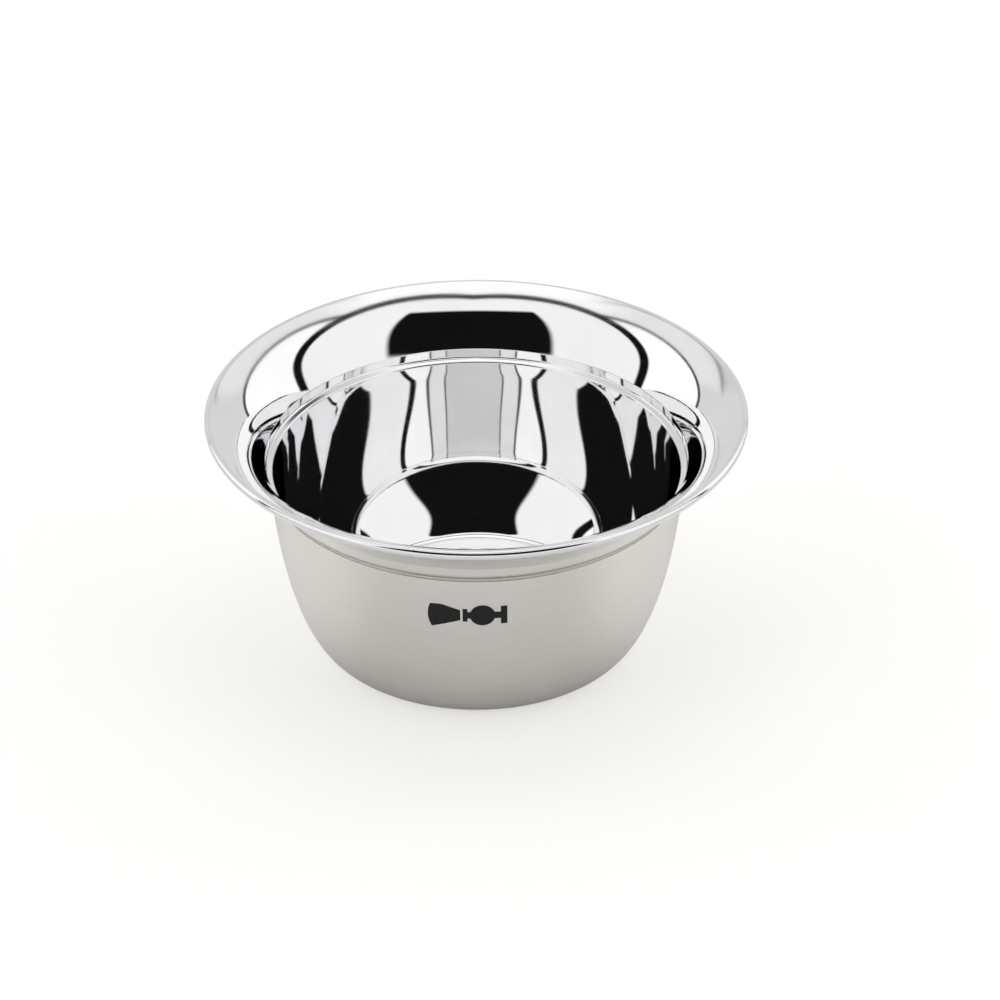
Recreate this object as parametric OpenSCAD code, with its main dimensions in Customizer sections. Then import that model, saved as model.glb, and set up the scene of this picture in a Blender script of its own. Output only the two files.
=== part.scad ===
// Double-walled stainless steel shaving bowl with a flared brim.
// Origin: centre of the flat base. +Z is the axis of the bowl and points up.
// Depths are measured down from the plane of the brim.

/* [Overall] */
// Diameter over the rolled rim
rim_d = 120; // [116:1:124]
// Height of the brim plane above the base
bowl_h = 55.9; // [55:0.1:60]
// Thickness of the pressed steel sheet
sheet_t = 0.4; // [0.3:0.05:0.45]

/* [Rim and brim] */
// Outside radius of the rolled edge
curl_r = 1.1; // [0.9:0.05:1.3]
// How far the rolled edge turns back on itself, in degrees
curl_turn = 235; // [180:5:260]
// Slope of the brim next to the rolled edge, in degrees below level
brim_slope = 27.5; // [22:0.5:30]

/* [Throat and step] */
// Inside diameter of the neck
neck_d = 94.2; // [93.8:0.1:94.6]
// Depth where the throat meets the neck
neck_depth = 11.4; // [11:0.1:11.8]
// Slope of the throat where it meets the neck, in degrees below level
throat_slope = 63.5; // [58:0.5:68]
// Depth of the ledge below the neck
ledge_depth = 14; // [13.8:0.1:14.2]
// Slope of the ledge, in degrees below level
ledge_slope = 20; // [10:1:30]
// Radius of the rounded corners of the neck and the ledge
corner_r = 0.6; // [0.4:0.05:0.7]

/* [Liner] */
// Inside diameter of the liner just under the ledge
liner_d = 91; // [90.8:0.1:91.2]
// Draft of the upper liner wall, in degrees from upright
liner_draft = 6.3; // [5.8:0.1:7]
// Depth where the straight upper wall turns into the curved belly
belly_depth = 17.4; // [17:0.1:19]
// Diameter of the floor edge
floor_d = 59; // [57:0.2:61]
// Depth of the floor edge
floor_depth = 50.9; // [50:0.1:51.5]
// Slope of the belly where it reaches the floor, in degrees from upright
floor_slope = 40.5; // [36:0.5:46]
// Radius of the bend between the belly and the floor
floor_bend_r = 2.7; // [1.5:0.1:4]

/* [Jacket] */
// Outside diameter of the jacket at its top edge
jacket_d = 92.8; // [92.8:0.1:93.4]
// Depth of the jacket's top edge
jacket_depth = 15.4; // [15.2:0.1:16]
// Draft of the jacket at its top edge, in degrees from upright
jacket_draft = 3.9; // [3:0.1:4.2]
// Diameter of the flat base
base_d = 71.6; // [70:0.2:74]

/* [Printed mark] */
// Length of the printed brush symbol
mark_w = 17; // [12:0.5:20]
// Turn of the symbol around the bowl, in degrees
mark_turn = -2.2; // [-10:0.2:10]
// Height of the symbol's centre above the base
mark_z = 31.5; // [26:0.5:34]

/* [Hidden] */
$fn = 180;

liner_steel = "silver";
jacket_steel = "darkgray";
weld_steel = "dimgray";
ink = "black";

// Numbers of steps along the curved stretches of the profiles.
curl_steps = 24;
brim_steps = 24;
corner_steps = 6;
belly_steps = 28;

// Reach of each curve's handles: short handles give a tight bend.
brim_handles = [6.9, 6.4];
belly_handles = [25.2, 8];
jacket_handles = [30.9, 1.6];

// Height of the weld and the share of the jacket's top edge that it covers.
weld_h = 0.5;
weld_cover = 0.4;

// Thickness of the ink, and half the symbol's height as a share of its length.
ink_t = 0.08;
symbol_half_h = 0.22;

// Unit vector at an angle, anticlockwise from +X.
function dir(a) = [cos(a), sin(a)];

// Points of a cubic curve from its four control points.
function curve(p0, p1, p2, p3, steps) = [
    for (i = [0:steps])
        let (t = i / steps, u = 1 - t)
        u * u * u * p0 + 3 * u * u * t * p1 + 3 * u * t * t * p2 + t * t * t * p3
];

// Points of an arc around a centre, from angle a0 to angle a1.
function arc(centre, r, a0, a1, steps) = [
    for (i = [0:steps]) centre + r * dir(a0 + (a1 - a0) * i / steps)
];

// Arc of radius r that rounds the corner b between the points a and c.
function rounded(a, b, c, r) =
    let (u = (a - b) / norm(a - b), v = (c - b) / norm(c - b))
    let (half = acos(u * v) / 2, mid = (u + v) / norm(u + v))
    let (centre = b + mid * r / sin(half), reach = r / tan(half))
    let (from = b + u * reach - centre, to = b + v * reach - centre)
    let (a0 = atan2(from.y, from.x), sweep = atan2(cross(from, to), from * to))
    arc(centre, r, a0, a0 + sweep, corner_steps);

// Unit normal of a path at point i, on the left of the direction of travel.
function normal(path, i) =
    let (a = path[max(i - 1, 0)], b = path[min(i + 1, len(path) - 1)])
    let (d = (b - a) / norm(b - a))
    [-d.y, d.x];

// The path moved sideways by t, to the left of the direction of travel.
function beside(path, t) = [for (i = [0:len(path) - 1]) path[i] + t * normal(path, i)];

function backwards(path) = [for (i = [len(path) - 1:-1:0]) path[i]];
function without_first(path) = [for (i = [1:len(path) - 1]) path[i]];
function without_last(path) = [for (i = [0:len(path) - 2]) path[i]];

// Liner: the upper face of the sheet, from the hem of the rim to the centre.
curl_centre = [rim_d / 2 - curl_r, bowl_h - curl_r / 2];
brim_start_a = 90 + brim_slope;
curl_path = arc(curl_centre, curl_r, brim_start_a - curl_turn, brim_start_a, curl_steps);

brim_start = curl_centre + curl_r * dir(brim_start_a);
neck_top = [neck_d / 2, bowl_h - neck_depth];
brim_path = without_last(curve(
    brim_start,
    brim_start + brim_handles[0] * dir(180 + brim_slope),
    neck_top - brim_handles[1] * dir(180 + throat_slope),
    neck_top,
    brim_steps
));

// The neck narrows by neck_taper down to the ledge, which steps in to the wall.
neck_taper = 0.2;
ledge_out_r = neck_d / 2 - neck_taper;
ledge_drop = (ledge_out_r - liner_d / 2) * tan(ledge_slope);
ledge_out = [ledge_out_r, bowl_h - ledge_depth + ledge_drop];
ledge_in = [liner_d / 2, bowl_h - ledge_depth];
belly_top = ledge_in + (belly_depth - ledge_depth) * [-tan(liner_draft), -1];
step_path = concat(
    rounded(brim_path[len(brim_path) - 1], neck_top, ledge_out, corner_r),
    rounded(neck_top, ledge_out, ledge_in, corner_r),
    rounded(ledge_out, ledge_in, belly_top, corner_r)
);

floor_edge = [floor_d / 2, bowl_h - floor_depth];
belly_path = curve(
    belly_top,
    belly_top + belly_handles[0] * dir(270 - liner_draft),
    floor_edge - belly_handles[1] * dir(270 - floor_slope),
    floor_edge,
    belly_steps
);
floor_bend_path = arc(
    floor_edge + floor_bend_r * dir(180 - floor_slope),
    floor_bend_r, -floor_slope, -90, corner_steps
);
floor_z = floor_bend_path[corner_steps].y;
liner_path = concat(
    curl_path,
    without_first(brim_path),
    step_path,
    belly_path,
    without_first(floor_bend_path),
    [[0, floor_z]]
);

// Jacket: the outer face of the sheet, from its top edge to the centre.
jacket_top = [jacket_d / 2, bowl_h - jacket_depth];
base_edge = [base_d / 2, 0];
jacket_wall = curve(
    jacket_top,
    jacket_top + jacket_handles[0] * dir(270 - jacket_draft),
    base_edge + [jacket_handles[1], 0],
    base_edge,
    belly_steps
);
jacket_path = concat(jacket_wall, [[0, 0]]);

// Radius of the liner's outer face at a height within its straight upper wall.
function liner_outer_r(z) =
    liner_d / 2 - (ledge_in.y - z) * tan(liner_draft) + sheet_t / cos(liner_draft);

// A sheet of thickness t, spun around the axis, that follows a path.
module spun_sheet(path, t) {
    rotate_extrude()
        polygon(concat(path, backwards(beside(path, t))));
}

// Plain symbol of a shaving brush lying on its side, centred, one unit long.
module brush_symbol() {
    fan_r = 0.44;
    fan_apex = 0.2;
    collar = [0.06, 0.2];
    neck_w = 0.1;
    bulb_x = 0.25;
    bulb_d = 0.32;
    foot = [0.08, 0.28];
    handle_end = 1 - fan_r;
    translate([fan_r - 0.5, 0]) {
        intersection() {
            circle(r = fan_r);
            polygon([
                [fan_apex, 0],
                [-fan_r, symbol_half_h], [-fan_r, -symbol_half_h]
            ]);
            translate([-fan_r - 0.03, -symbol_half_h])
                square([fan_r, 2 * symbol_half_h]);
        }
        translate([0, -collar.y / 2])
            square(collar);
        translate([0, -neck_w / 2])
            square([handle_end, neck_w]);
        translate([bulb_x, 0])
            circle(d = bulb_d);
        translate([handle_end - foot.x, -foot.y / 2])
            square(foot);
    }
}

// Inner liner: rolled rim, flared brim, throat, stepped neck and inner bowl.
module inner_liner() {
    color(liner_steel)
        spun_sheet(liner_path, sheet_t);
}

// Outer jacket: the body seen from outside, with the flat base.
module outer_jacket() {
    color(jacket_steel)
        spun_sheet(jacket_path, -sheet_t);
}

// Seam weld: thin ring that joins the jacket's top edge to the liner.
module seam_weld() {
    lip = jacket_top - sheet_t * normal(jacket_path, 0);
    edge = lip + weld_cover * (jacket_top - lip);
    top = lip.y + weld_h;
    color(weld_steel)
        rotate_extrude()
            polygon([
                [liner_outer_r(lip.y), lip.y], lip, edge,
                [edge.x, top], [liner_outer_r(top), top]
            ]);
}

// Printed mark: a thin layer of ink on the front of the jacket.
module printed_mark() {
    reach = mark_w * symbol_half_h + 2;
    band = [for (p = jacket_wall) if (abs(p.y - mark_z) < reach) p];
    color(ink)
        intersection() {
            rotate_extrude()
                polygon(concat(band, backwards(beside(band, ink_t))));
            rotate([0, 0, mark_turn])
                translate([0, 0, mark_z])
                    rotate([90, 0, 0])
                        linear_extrude(rim_d / 2)
                            scale([mark_w, mark_w])
                                brush_symbol();
        }
}

inner_liner();
outer_jacket();
seam_weld();
printed_mark();
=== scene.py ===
"""Looks of the shaving bowl: spun steel pieces, a printed mark, a light tent and a camera."""
import math

import bpy
import numpy as np
from mathutils import Euler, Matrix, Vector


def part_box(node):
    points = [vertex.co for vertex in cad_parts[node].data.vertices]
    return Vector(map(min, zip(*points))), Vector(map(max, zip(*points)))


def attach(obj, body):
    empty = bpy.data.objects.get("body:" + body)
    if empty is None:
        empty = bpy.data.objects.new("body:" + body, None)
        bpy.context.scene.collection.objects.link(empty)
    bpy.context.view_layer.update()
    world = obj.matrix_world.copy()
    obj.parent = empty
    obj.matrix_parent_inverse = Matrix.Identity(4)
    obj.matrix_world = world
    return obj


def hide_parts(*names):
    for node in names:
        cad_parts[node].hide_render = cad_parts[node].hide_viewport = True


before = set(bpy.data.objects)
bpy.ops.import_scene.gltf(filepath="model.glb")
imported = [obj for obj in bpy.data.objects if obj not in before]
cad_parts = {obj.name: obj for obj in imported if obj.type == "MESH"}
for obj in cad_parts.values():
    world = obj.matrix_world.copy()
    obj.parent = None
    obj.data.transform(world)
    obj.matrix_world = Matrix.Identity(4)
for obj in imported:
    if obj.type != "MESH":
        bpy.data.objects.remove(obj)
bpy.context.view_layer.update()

MM = 0.001

# Sizes read from the frame, in millimetres.
LINER_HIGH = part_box("inner_liner")[1]
JACKET_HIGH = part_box("outer_jacket")[1]
RIM_R = LINER_HIGH.x / MM
TOP_Z = LINER_HIGH.z / MM
JACKET_R = JACKET_HIGH.x / MM
JACKET_TOP_Z = JACKET_HIGH.z / MM
WELD_TOP_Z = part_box("seam_weld")[1].z / MM

# Liner, in millimetres and degrees. Depths are measured down from the brim's plane.
SHEET_T = 0.4
CURL_R = 1.1
CURL_TURN = 235
BRIM_SLOPE = 27.5
BRIM_HANDLES = (6.9, 6.4)
THROAT_SLOPE = 63.5
NECK_R = 47.1
NECK_DEPTH = 11.4
NECK_TAPER = 0.2
LEDGE_DEPTH = 14
LEDGE_SLOPE = 20
CORNER_R = 0.6
WALL_R = 45.5
WALL_DRAFT = 6.3
BELLY_DEPTH = 17.4
BELLY_HANDLES = (25.2, 8)
FLOOR_R = 29.5
FLOOR_DEPTH = 50.9
FLOOR_SLOPE = 40.5
FLOOR_BEND_R = 2.7
BRIM_Z = TOP_Z - CURL_R / 2

# Jacket and weld, in millimetres and degrees.
JACKET_DRAFT = 3.9
BASE_R = 35.8
JACKET_HANDLES = (30.9, 1.6)
WELD_COVER = 0.4
WELD_SHOULDER = 0.12
WELD_BEVEL = 0.3

# Steps round the axis and along the stretches of the profiles.
SEGMENTS = 256
CURL_STEPS = 40
BRIM_STEPS = 60
BRIM_TRIM = 3
CORNER_STEPS = 10
BELLY_STEPS = 80
BEND_STEPS = 16
FLOOR_STEPS = 12
JACKET_STEPS = 100
BASE_STEPS = 10

# A point nearer to the axis than this is on it. Edges sharper than these angles stay sharp.
ON_AXIS_R = 1e-6
SHEET_SMOOTH = 50
WELD_SMOOTH = 30


# Profiles, as rows of [radius, height] in millimetres

def direction(angle):
    """Unit vector at an angle in degrees, anticlockwise from +X."""
    a = math.radians(angle)
    return np.array([math.cos(a), math.sin(a)])


def curve(p0, p1, p2, p3, steps):
    """Points of a cubic curve from its four control points."""
    t = np.linspace(0, 1, steps + 1)[:, None]
    u = 1 - t
    return u**3 * p0 + 3 * u * u * t * p1 + 3 * u * t * t * p2 + t**3 * p3


def arc(centre, radius, start, end, steps):
    """Points of an arc between two angles in degrees."""
    angles = np.linspace(start, end, steps + 1)
    return np.array([centre + radius * direction(a) for a in angles])


def rounded(a, b, c):
    """Arc that rounds the corner b between the points a and c."""
    u = (a - b) / np.linalg.norm(a - b)
    v = (c - b) / np.linalg.norm(c - b)
    half = math.acos(float(u @ v)) / 2
    centre = b + (u + v) / np.linalg.norm(u + v) * CORNER_R / math.sin(half)
    reach = CORNER_R / math.tan(half)
    first = b + u * reach - centre
    last = b + v * reach - centre
    start = math.degrees(math.atan2(first[1], first[0]))
    sweep = math.atan2(first[0] * last[1] - first[1] * last[0], float(first @ last))
    return arc(centre, CORNER_R, start, start + math.degrees(sweep), CORNER_STEPS)


def beside(path, distance):
    """The path moved sideways, to the left of the direction of travel."""
    before = np.vstack([path[:1], path[:-1]])
    after = np.vstack([path[1:], path[-1:]])
    d = after - before
    d /= np.linalg.norm(d, axis=1)[:, None]
    return path + distance * np.stack([-d[:, 1], d[:, 0]], axis=1)


def level_run(radius, height, steps):
    """Level points from a radius, itself left out, to the axis."""
    radii = np.linspace(radius, 0, steps)[1:]
    return np.stack([radii, np.full(len(radii), height)], axis=1)


def liner_path():
    """Upper face of the liner's sheet, from the hem of the rim to the centre."""
    curl_centre = np.array([RIM_R - CURL_R, BRIM_Z - CURL_R / 2])
    brim_angle = 90 + BRIM_SLOPE
    curl = arc(curl_centre, CURL_R, brim_angle - CURL_TURN, brim_angle, CURL_STEPS)
    brim_start = curl_centre + CURL_R * direction(brim_angle)
    neck_top = np.array([NECK_R, BRIM_Z - NECK_DEPTH])
    brim = curve(
        brim_start,
        brim_start + BRIM_HANDLES[0] * direction(180 + BRIM_SLOPE),
        neck_top - BRIM_HANDLES[1] * direction(180 + THROAT_SLOPE),
        neck_top,
        BRIM_STEPS,
    )[:-BRIM_TRIM]
    ledge_r = NECK_R - NECK_TAPER
    drop = (ledge_r - WALL_R) * math.tan(math.radians(LEDGE_SLOPE))
    ledge_out = np.array([ledge_r, BRIM_Z - LEDGE_DEPTH + drop])
    ledge_in = np.array([WALL_R, BRIM_Z - LEDGE_DEPTH])
    taper = math.tan(math.radians(WALL_DRAFT))
    belly_top = ledge_in + (BELLY_DEPTH - LEDGE_DEPTH) * np.array([-taper, -1])
    floor_edge = np.array([FLOOR_R, BRIM_Z - FLOOR_DEPTH])
    belly = curve(
        belly_top,
        belly_top + BELLY_HANDLES[0] * direction(270 - WALL_DRAFT),
        floor_edge - BELLY_HANDLES[1] * direction(270 - FLOOR_SLOPE),
        floor_edge,
        BELLY_STEPS,
    )
    bend_centre = floor_edge + FLOOR_BEND_R * direction(180 - FLOOR_SLOPE)
    bend = arc(bend_centre, FLOOR_BEND_R, -FLOOR_SLOPE, -90, BEND_STEPS)
    return np.vstack([
        curl,
        brim[1:],
        rounded(brim[-1], neck_top, ledge_out),
        rounded(neck_top, ledge_out, ledge_in),
        rounded(ledge_out, ledge_in, belly_top),
        belly,
        bend[1:],
        level_run(bend[-1][0], bend[-1][1], FLOOR_STEPS),
    ])


def jacket_path():
    """Outer face of the jacket's sheet, from its top edge to the centre."""
    top = np.array([JACKET_R, JACKET_TOP_Z])
    base = np.array([BASE_R, 0.0])
    wall = curve(
        top,
        top + JACKET_HANDLES[0] * direction(270 - JACKET_DRAFT),
        base + np.array([JACKET_HANDLES[1], 0.0]),
        base,
        JACKET_STEPS,
    )
    return np.vstack([wall, level_run(BASE_R, 0.0, BASE_STEPS)])


def liner_outer_r(z):
    """Radius of the liner's outer face at a height within its straight upper wall."""
    draft = math.radians(WALL_DRAFT)
    return WALL_R - (BRIM_Z - LEDGE_DEPTH - z) * math.tan(draft) + SHEET_T / math.cos(draft)


# Meshes

def lathe(name, outline, smooth_angle, under_from=None):
    """Closed mesh spun around the axis from a closed outline of [radius, height] points.

    Faces from the ring under_from onwards take the second material."""
    angles = np.linspace(0, 2 * math.pi, SEGMENTS, endpoint=False)
    verts = []
    rings = []
    for r, z in outline:
        if r < ON_AXIS_R:
            rings.append([len(verts)])
            verts.append((0.0, 0.0, z * MM))
            continue
        rings.append(list(range(len(verts), len(verts) + SEGMENTS)))
        for a in angles:
            verts.append((r * math.cos(a) * MM, r * math.sin(a) * MM, z * MM))
    faces = []
    under = []
    for i, ring in enumerate(rings):
        other = rings[(i + 1) % len(rings)]
        if len(ring) == 1 and len(other) == 1:
            continue
        under += [int(under_from is not None and i >= under_from)] * SEGMENTS
        for k in range(SEGMENTS):
            n = (k + 1) % SEGMENTS
            if len(ring) == 1:
                faces.append((ring[0], other[n], other[k]))
            elif len(other) == 1:
                faces.append((ring[k], ring[n], other[0]))
            else:
                faces.append((ring[k], ring[n], other[n], other[k]))
    mesh = bpy.data.meshes.new(name)
    mesh.from_pydata(verts, [], faces)
    mesh.polygons.foreach_set("material_index", under)
    mesh.shade_smooth()
    mesh.set_sharp_from_angle(angle=math.radians(smooth_angle))
    piece = bpy.data.objects.new(name, mesh)
    bpy.context.scene.collection.objects.link(piece)
    return piece


def keep(piece, node, slot, *materials):
    """Puts a piece in a CAD node's place, with its finish."""
    indices = [p.material_index for p in piece.data.polygons]
    for material in materials:
        piece.data.materials.append(material)
    piece.data.polygons.foreach_set("material_index", indices)
    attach(piece, "root")
    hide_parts(node)


# Materials

# Span of a noise pattern that holds nearly all of its values, and two narrower ones.
NOISE_SPAN = (0.3, 0.7)
SMUDGE_SPAN = (0.35, 0.7)
INK_SPAN = (0.35, 0.65)

# Light and dark tones, and the least and most roughness, of each finish.
POLISH_TONES = ((0.93, 0.935, 0.945, 1), (0.88, 0.885, 0.90, 1))
POLISH_ROUGH = (0.01, 0.035)
SMUDGE_ROUGH = (0.0, 0.02)
SATIN_TONES = ((0.86, 0.84, 0.81, 1), (0.81, 0.79, 0.755, 1))
SATIN_ROUGH = (0.25, 0.34)
PATCH_ROUGH = (0.0, 0.05)
WELD_TONES = ((0.66, 0.63, 0.585, 1), (0.76, 0.73, 0.69, 1))
WELD_ROUGH = (0.4, 0.6)
INK_TONES = ((0.012, 0.012, 0.013, 1), (0.02, 0.02, 0.021, 1))
INK_ROUGH = (0.45, 0.6)
INK_SPECULAR = 0.2

# Handling has dulled the outer brim: from this depth up, over this height, by this much.
DULL_DEPTH = 2.6
DULL_FADE = 2.0
DULL_ROUGH = 0.07


class Nodes:
    """Short hand for building a node tree."""

    def __init__(self, tree):
        self.tree = tree
        tree.nodes.clear()

    def add(self, kind, **values):
        """A new node with some of its settings."""
        node = self.tree.nodes.new(kind)
        for key, value in values.items():
            setattr(node, key, value)
        return node

    def link(self, a, b):
        """Joins an output to an input."""
        self.tree.links.new(a, b)

    def put(self, value, socket):
        """Gives an input a number, a colour or another node's output."""
        if isinstance(value, bpy.types.NodeSocket):
            self.link(value, socket)
        else:
            socket.default_value = value

    def split(self, vector):
        """The three parts of a vector."""
        node = self.add("ShaderNodeSeparateXYZ")
        self.link(vector, node.inputs[0])
        return node.outputs

    def math(self, kind, a, b=0.0, c=0.0, clamp=False):
        """One step of arithmetic."""
        node = self.add("ShaderNodeMath", operation=kind, use_clamp=clamp)
        for value, socket in zip((a, b, c), node.inputs):
            self.put(value, socket)
        return node.outputs[0]

    def plus(self, a, b):
        """Sum of two values."""
        return self.math("ADD", a, b)

    def minus(self, a, b):
        """Difference of two values."""
        return self.math("SUBTRACT", a, b)

    def times(self, a, b):
        """Product of two values."""
        return self.math("MULTIPLY", a, b)

    def length(self, a, b):
        """Length of the vector [a, b]."""
        return self.math("SQRT", self.plus(self.times(a, a), self.times(b, b)))

    def smooth(self, value, width):
        """Soft step from 0 to 1 as a value passes 0, over a width."""
        scaled = self.math("MULTIPLY_ADD", value, 1 / width, 0.5, clamp=True)
        node = self.add("ShaderNodeMapRange", interpolation_type="SMOOTHSTEP")
        self.link(scaled, node.inputs["Value"])
        return node.outputs["Result"]

    def blend(self, share, a, b):
        """Number a where share is 0, number b where share is 1."""
        node = self.add("ShaderNodeMix", data_type="FLOAT")
        for value, socket in zip((share, a, b), (node.inputs[0], node.inputs[2], node.inputs[3])):
            self.put(value, socket)
        return node.outputs[0]

    def colour(self, share, a, b):
        """Colour a where share is 0, colour b where share is 1."""
        node = self.add("ShaderNodeMix", data_type="RGBA")
        for value, socket in zip((share, a, b), (node.inputs[0], node.inputs[6], node.inputs[7])):
            self.put(value, socket)
        return node.outputs[2]

    def noise(self, vector, scale, detail, rough):
        """Noise pattern in the coordinates given."""
        node = self.add("ShaderNodeTexNoise")
        self.link(vector, node.inputs["Vector"])
        node.inputs["Scale"].default_value = scale
        node.inputs["Detail"].default_value = detail
        node.inputs["Roughness"].default_value = rough
        return node.outputs["Fac"]

    def spread(self, pattern, low, high, span=NOISE_SPAN):
        """Stretches the span of a pattern to run from low to high."""
        node = self.add("ShaderNodeMapRange")
        self.link(pattern, node.inputs["Value"])
        ends = (("From Min", span[0]), ("From Max", span[1]), ("To Min", low), ("To Max", high))
        for key, number in ends:
            node.inputs[key].default_value = number
        return node.outputs["Result"]


class Finish(Nodes):
    """A new metallic material: its nodes, its shader and the object's coordinates."""

    def __init__(self, name):
        self.material = bpy.data.materials.new(name)
        self.material.use_nodes = True
        super().__init__(self.material.node_tree)
        out = self.add("ShaderNodeOutputMaterial")
        self.shader = self.add("ShaderNodeBsdfPrincipled")
        self.link(self.shader.outputs[0], out.inputs[0])
        self.shader.inputs["Metallic"].default_value = 1.0
        self.place = self.add("ShaderNodeTexCoord").outputs["Object"]

    def spinning_lines(self, around, along, detail, rough):
        """Noise that is long round the axis and fine across it, like the marks of spinning."""
        x, y, z = self.split(self.place)
        angle = self.math("ABSOLUTE", self.math("ARCTAN2", y, x))
        joined = self.add("ShaderNodeCombineXYZ")
        self.link(self.times(angle, around), joined.inputs[0])
        self.link(self.times(self.length(x, y), along), joined.inputs[1])
        self.link(self.times(z, along), joined.inputs[2])
        return self.noise(joined.outputs[0], 1.0, detail, rough)

    def surface(self, tones, tone_pattern, roughness):
        """Colour between two tones by a pattern, and the roughness."""
        self.link(self.colour(tone_pattern, *tones), self.shader.inputs["Base Color"])
        self.link(roughness, self.shader.inputs["Roughness"])

    def relief(self, height, strength, depth):
        """Bump from a pattern, with its depth in millimetres."""
        bump = self.add("ShaderNodeBump")
        bump.inputs["Strength"].default_value = strength
        bump.inputs["Distance"].default_value = depth * MM
        self.link(height, bump.inputs["Height"])
        self.link(bump.outputs[0], self.shader.inputs["Normal"])


def polished_steel():
    """Mirror polish with faint spinning lines and smudges, duller on the outer brim."""
    steel = Finish("polished_steel")
    lines = steel.spinning_lines(around=1.5, along=4000, detail=3.0, rough=0.6)
    smudge = steel.noise(steel.place, scale=60.0, detail=3.0, rough=0.55)
    height = steel.split(steel.place)["Z"]
    on_brim = steel.smooth(steel.minus(height, (BRIM_Z - DULL_DEPTH) * MM), DULL_FADE * MM)
    rough = steel.plus(
        steel.spread(lines, *POLISH_ROUGH),
        steel.spread(smudge, *SMUDGE_ROUGH, span=SMUDGE_SPAN),
    )
    rough = steel.plus(rough, steel.times(on_brim, DULL_ROUGH))
    steel.surface(POLISH_TONES, steel.spread(smudge, 0.0, 1.0), rough)
    steel.relief(lines, strength=0.04, depth=0.02)
    return steel.material


def satin_steel():
    """Satin finish with fine spinning lines and soft patches."""
    steel = Finish("satin_steel")
    lines = steel.spinning_lines(around=2.0, along=5000, detail=4.0, rough=0.65)
    patch = steel.noise(steel.place, scale=90.0, detail=3.0, rough=0.6)
    rough = steel.plus(steel.spread(lines, *SATIN_ROUGH), steel.spread(patch, *PATCH_ROUGH))
    steel.surface(SATIN_TONES, steel.spread(lines, 0.0, 1.0), rough)
    steel.relief(lines, strength=0.15, depth=0.03)
    return steel.material


def weld_steel():
    """Grainy, slightly warm metal of the seam."""
    steel = Finish("weld_steel")
    grain = steel.noise(steel.place, scale=900.0, detail=3.0, rough=0.6)
    steel.surface(WELD_TONES, steel.spread(grain, 0.0, 1.0), steel.spread(grain, *WELD_ROUGH))
    steel.relief(grain, strength=0.4, depth=0.05)
    return steel.material


def printed_ink():
    """Matt black ink with a fine grain."""
    ink = Finish("printed_ink")
    ink.shader.inputs["Metallic"].default_value = 0.0
    ink.shader.inputs["Specular IOR Level"].default_value = INK_SPECULAR
    grain = ink.noise(ink.place, scale=2500.0, detail=2.0, rough=0.6)
    tone = ink.spread(grain, 0.0, 1.0, span=INK_SPAN)
    ink.surface(INK_TONES, tone, ink.spread(grain, *INK_ROUGH))
    ink.relief(grain, strength=0.2, depth=0.01)
    return ink.material


# Pieces

def build_liner():
    """Inner sheet: the upper face comes first in the outline, then the underside."""
    path = liner_path()
    outline = np.vstack([path, beside(path, SHEET_T)[::-1]])
    return lathe("liner", outline, SHEET_SMOOTH, len(path))


def build_jacket():
    """Outer sheet with the flat base."""
    path = jacket_path()
    return lathe("jacket", np.vstack([path, beside(path, -SHEET_T)[::-1]]), SHEET_SMOOTH)


def build_weld():
    """Thin ring between the jacket's top edge and the liner, with a rounded shoulder."""
    path = jacket_path()
    lip = beside(path, -SHEET_T)[0]
    edge = lip + WELD_COVER * (path[0] - lip)
    top = WELD_TOP_Z
    bevel = WELD_BEVEL * WELD_SHOULDER
    outline = np.array([
        [liner_outer_r(lip[1]), lip[1]],
        lip,
        edge,
        [edge[0], top - WELD_SHOULDER],
        [edge[0] - bevel, top - bevel],
        [edge[0] - WELD_SHOULDER, top],
        [liner_outer_r(top), top],
    ])
    return lathe("weld", outline, WELD_SMOOTH)


def finish_mark():
    """The CAD's own printed mark, in ink."""
    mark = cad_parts["printed_mark"]
    mark.data.materials.clear()
    mark.data.materials.append(printed_ink())


# Light tent: brightness by direction. Widths are sideways parts of a unit vector, and
# elevations are in degrees.

TENT_TURN = 4.0
TENT_COLOUR = (1.0, 0.992, 0.975, 1)
WHITE_LEVEL = 1.1
FRONT_LEVEL = 0.98
BELOW_LEVEL = 0.7
DARK_LEVEL = 0.006
SEEN_LEVEL = 1.05
EDGE_FADE = 4.0

# Grey panel in the middle of the back: its half width, which shrinks by the taper with
# height squared, its lowest height and its thin dark edge.
PANEL_LEVEL = 0.68
PANEL_HALF_W = 0.47
PANEL_TAPER = 0.15
PANEL_FADE = 0.02
PANEL_FOOT = 0.4
PANEL_FOOT_FADE = 0.12
PANEL_LINE_W = 0.010
PANEL_LINE_LEVEL = 0.12

# Pale sheet around it, darker below the panel's foot, with a dark edge.
SHEET_LEVEL = 0.86
SHEET_FOOT_LEVEL = 0.73
SHEET_HALF_W = 0.66
SHEET_TAPER = 0.3
SHEET_FADE = 0.03
SHEET_LINE_W = 0.012
SHEET_LINE_LEVEL = 0.08

# Softness of the dark edges, and how high the sheet and its edge reach.
LINE_FADE = 0.012
BACK_TOP = 62.0
LINE_TOP = 78.0
TOP_FADE = 16.0

# Dark gap between the back and the front: how it leans, where it is and how wide.
GAP_SPREAD = 0.45
GAP_RISE = 0.22
GAP_PLACE = 0.36
GAP_HALF_W = 0.05
GAP_FADE = 0.03
REAR_FADE = 0.05
FRONT_FADE = 0.06

# Dark opening in front.
WINDOW_HALF_TURN = 45.0
WINDOW_TOP = 62.5
WINDOW_BOTTOM = 20.0


def inside(n, side, z, half_w, taper, power):
    """How far a direction lies inside a back panel that tapers with height."""
    width = n.math("MULTIPLY_ADD", n.math("POWER", z, power), -taper, half_w)
    return n.minus(width, side)


def near(n, value, half_w, fade):
    """1 where a value is within half_w of 0, and 0 away from it."""
    return n.smooth(n.minus(half_w, n.math("ABSOLUTE", value)), fade)


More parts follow.
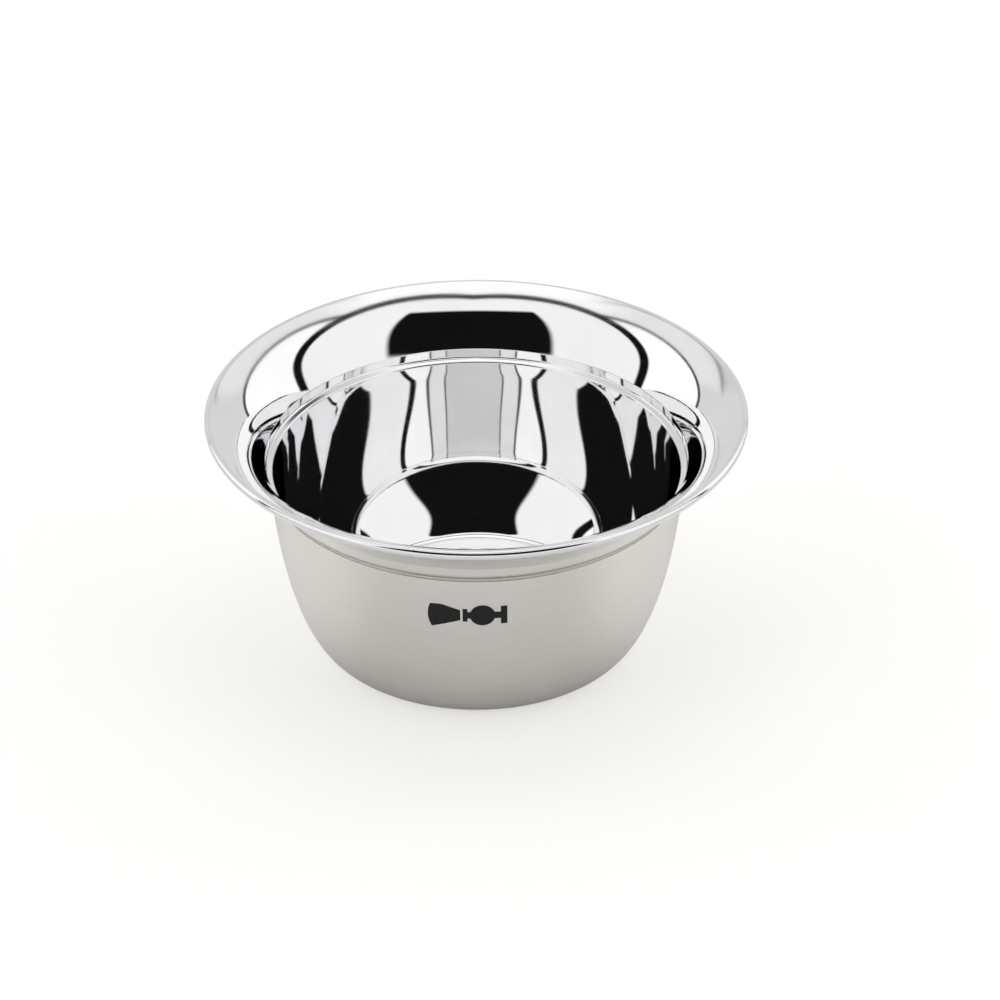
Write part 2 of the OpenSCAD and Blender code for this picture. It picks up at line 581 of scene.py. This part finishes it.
def back_level(n, side, z, elevation, rear):
    """Brightness of the back: white cloth, the pale sheet on it and the grey panel on that."""
    behind = n.times(rear, n.smooth(n.minus(BACK_TOP, elevation), TOP_FADE))
    sheet_edge = n.times(rear, n.smooth(n.minus(LINE_TOP, elevation), TOP_FADE))
    high = n.smooth(n.minus(z, PANEL_FOOT), PANEL_FOOT_FADE)
    middle = n.times(behind, high)
    panel = inside(n, side, z, PANEL_HALF_W, PANEL_TAPER, 2.0)
    sheet = inside(n, side, z, SHEET_HALF_W, SHEET_TAPER, 4.0)
    pale = n.blend(high, SHEET_FOOT_LEVEL, SHEET_LEVEL)
    level = n.blend(n.times(n.smooth(sheet, SHEET_FADE), behind), WHITE_LEVEL, pale)
    level = n.blend(n.times(n.smooth(panel, PANEL_FADE), middle), level, PANEL_LEVEL)
    line = n.times(near(n, panel, PANEL_LINE_W, LINE_FADE), middle)
    level = n.blend(line, level, PANEL_LINE_LEVEL)
    line = n.times(near(n, sheet, SHEET_LINE_W, LINE_FADE), sheet_edge)
    return n.blend(line, level, SHEET_LINE_LEVEL)


def window_share(n, side, forward, elevation):
    """1 in the dark opening in front, and 0 elsewhere."""
    azimuth = n.times(n.math("ARCTAN2", side, forward), 180 / math.pi)
    turn = n.smooth(n.minus(azimuth, 180 - WINDOW_HALF_TURN), EDGE_FADE)
    below_top = n.smooth(n.minus(WINDOW_TOP, elevation), EDGE_FADE)
    above_bottom = n.smooth(n.minus(elevation, WINDOW_BOTTOM), EDGE_FADE)
    return n.times(turn, n.times(below_top, above_bottom))


def tent_level(n):
    """Brightness of the tent in every direction."""
    x, y, z = n.split(n.add("ShaderNodeTexCoord").outputs["Generated"])
    c, s = direction(TENT_TURN).tolist()
    side = n.math("ABSOLUTE", n.plus(n.times(x, c), n.times(y, s)))
    forward = n.minus(n.times(y, c), n.times(x, s))
    elevation = n.times(n.math("ARCSINE", z), 180 / math.pi)
    lean = n.math("MULTIPLY_ADD", side, -GAP_SPREAD, forward)
    lean = n.math("MULTIPLY_ADD", z, -GAP_RISE, lean)
    lean = n.plus(lean, GAP_PLACE)
    level = back_level(n, side, z, elevation, n.smooth(lean, REAR_FADE))
    level = n.blend(n.smooth(n.times(lean, -1.0), FRONT_FADE), level, FRONT_LEVEL)
    level = n.blend(near(n, lean, GAP_HALF_W, GAP_FADE), level, DARK_LEVEL)
    level = n.blend(window_share(n, side, forward, elevation), level, DARK_LEVEL)
    return n.blend(n.smooth(n.times(elevation, -1.0), EDGE_FADE), level, BELOW_LEVEL)


def light_tent():
    """World light: the tent in reflections and for lighting, plain white for the camera."""
    world = bpy.data.worlds.new("light_tent")
    bpy.context.scene.world = world
    world.use_nodes = True
    n = Nodes(world.node_tree)
    out = n.add("ShaderNodeOutputWorld")
    tent = n.add("ShaderNodeBackground")
    tent.inputs["Color"].default_value = TENT_COLOUR
    n.link(tent_level(n), tent.inputs["Strength"])
    plain = n.add("ShaderNodeBackground")
    plain.inputs["Strength"].default_value = SEEN_LEVEL
    pick = n.add("ShaderNodeMixShader")
    n.link(n.add("ShaderNodeLightPath").outputs["Is Camera Ray"], pick.inputs[0])
    n.link(tent.outputs[0], pick.inputs[1])
    n.link(plain.outputs[0], pick.inputs[2])
    n.link(pick.outputs[0], out.inputs["Surface"])


# Studio floor: its half size in metres, its paint, and its glow as seen and in reflections.
STAGE_HALF = 2.0
STAGE_PAINT = (0.82, 0.82, 0.82, 1)
STAGE_GLOW = 0.1
STAGE_GLOW_SEEN = 0.45

# Soft pools of side light on the floor, in rim radii from the axis, seen only in reflections.
POOL_X = 1.38
POOL_Y = -0.2
POOL_R = 0.7
POOL_GLOW = 0.28

# Contact shade: the glow fades out towards the foot, in rim radii.
CONTACT_R = 0.74
CONTACT_FADE = 0.36


def stage_glow(n):
    """Glow of the floor: plain for the camera, pools and contact shade in reflections."""
    radius = RIM_R * MM
    x, y, z = n.split(n.add("ShaderNodeTexCoord").outputs["Object"])
    from_pool = n.length(
        n.minus(n.math("ABSOLUTE", x), POOL_X * radius),
        n.minus(y, POOL_Y * radius),
    )
    pool = n.smooth(n.minus(POOL_R * radius, from_pool), POOL_R * radius)
    clear = n.smooth(n.minus(n.length(x, y), CONTACT_R * radius), CONTACT_FADE * radius)
    unseen = n.blend(pool, n.times(clear, STAGE_GLOW), POOL_GLOW)
    seen = n.add("ShaderNodeLightPath").outputs["Is Camera Ray"]
    return n.blend(seen, unseen, STAGE_GLOW_SEEN)


def stage_paint():
    """Pale matt paint with a faint glow."""
    material = bpy.data.materials.new("floor_paint")
    material.use_nodes = True
    n = Nodes(material.node_tree)
    out = n.add("ShaderNodeOutputMaterial")
    paint = n.add("ShaderNodeBsdfDiffuse")
    paint.inputs["Color"].default_value = STAGE_PAINT
    glow = n.add("ShaderNodeEmission")
    n.link(stage_glow(n), glow.inputs["Strength"])
    both = n.add("ShaderNodeAddShader")
    n.link(paint.outputs[0], both.inputs[0])
    n.link(glow.outputs[0], both.inputs[1])
    n.link(both.outputs[0], out.inputs["Surface"])
    return material


def studio_floor():
    """Plain pale floor."""
    h = STAGE_HALF
    mesh = bpy.data.meshes.new("floor")
    mesh.from_pydata([(-h, -h, 0), (h, -h, 0), (h, h, 0), (-h, h, 0)], [], [(0, 1, 2, 3)])
    mesh.materials.append(stage_paint())
    floor = bpy.data.objects.new("floor", mesh)
    bpy.context.scene.collection.objects.link(floor)


# Camera: lens and side step in millimetres, distances in rim radii, pitch in degrees.
CAMERA_SENSOR = 36.0
CAMERA_LENS = 117.3
CAMERA_SIDE = 5.2
CAMERA_BACK = 10.358
CAMERA_UP = 6.060
CAMERA_PITCH = 31.94


def studio_camera():
    """Camera in front of the bowl, looking down into it."""
    data = bpy.data.cameras.new("camera")
    data.sensor_width = CAMERA_SENSOR
    data.lens = CAMERA_LENS
    camera = bpy.data.objects.new("camera", data)
    bpy.context.scene.collection.objects.link(camera)
    camera.location = (
        CAMERA_SIDE * MM,
        -CAMERA_BACK * RIM_R * MM,
        (BRIM_Z + CAMERA_UP * RIM_R) * MM,
    )
    camera.rotation_euler = Euler((math.radians(90 - CAMERA_PITCH), 0, 0))
    bpy.context.scene.camera = camera


def build_bowl():
    """Every piece of the bowl. The underside of the liner's brim is satin, as the jacket is."""
    satin = satin_steel()
    keep(build_liner(), "inner_liner", "polished_steel", polished_steel(), satin)
    keep(build_jacket(), "outer_jacket", "satin_steel", satin)
    keep(build_weld(), "seam_weld", "weld", weld_steel())
    finish_mark()


build_bowl()
light_tent()
studio_floor()
studio_camera()
bpy.context.scene.view_settings.view_transform = "Standard"
